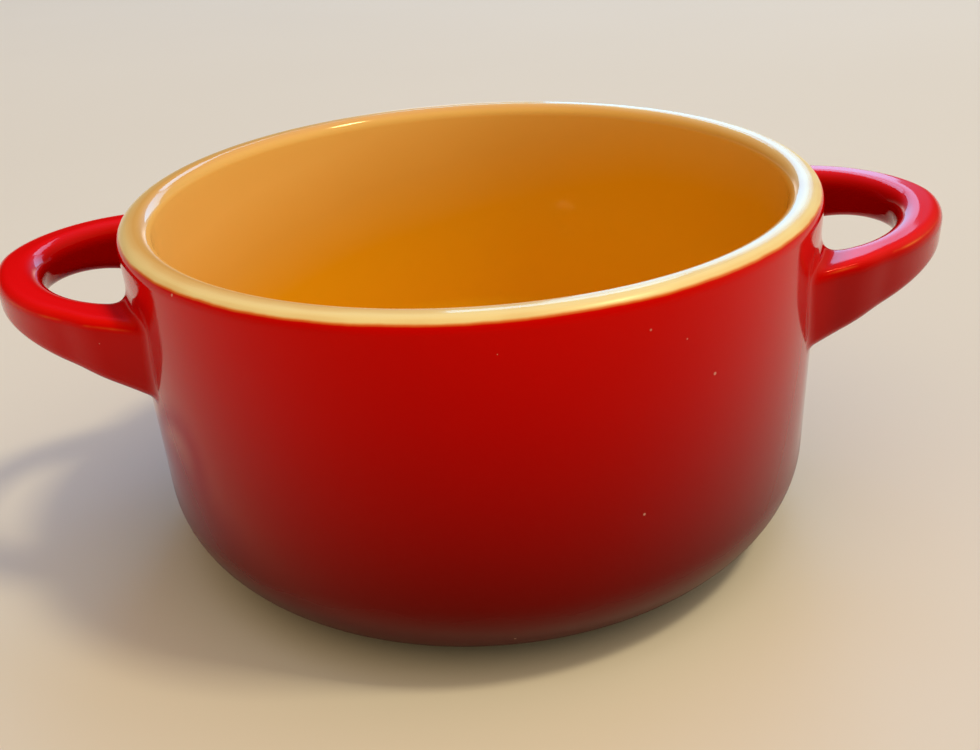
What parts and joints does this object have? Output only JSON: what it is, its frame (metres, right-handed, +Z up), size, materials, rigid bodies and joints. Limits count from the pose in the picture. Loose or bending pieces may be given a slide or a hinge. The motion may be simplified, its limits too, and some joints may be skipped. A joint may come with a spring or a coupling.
{
  "type": "mini cocotte",
  "caption": "Small round stoneware casserole pot with loop handles on opposite sides, glazed red outside and tan inside, for baking and serving a single portion.",
  "frame": {"origin": "centre of the foot ring, on the surface that the pot stands on", "axes": "+Z up through the mouth, +X through the right handle, -Y towards the viewer of the picture"},
  "size_m": [0.1392, 0.1, 0.0525],
  "materials": {
    "stoneware_clay": "matte",
    "luting_slip": "matte",
    "red_glaze": "gloss",
    "tan_glaze": "gloss"
  },
  "bodies": {
    "root": {"pot_body": "stoneware_clay", "inner_glaze": "tan_glaze", "base_glaze": "tan_glaze", "wall_glaze": "red_glaze", "handle_left": "stoneware_clay", "handle_right": "stoneware_clay", "handle_left_glaze": "red_glaze", "handle_right_glaze": "red_glaze", "slip_left_front": "luting_slip", "slip_left_back": "luting_slip", "slip_right_front": "luting_slip", "slip_right_back": "luting_slip"}
  },
  "joints": []
}
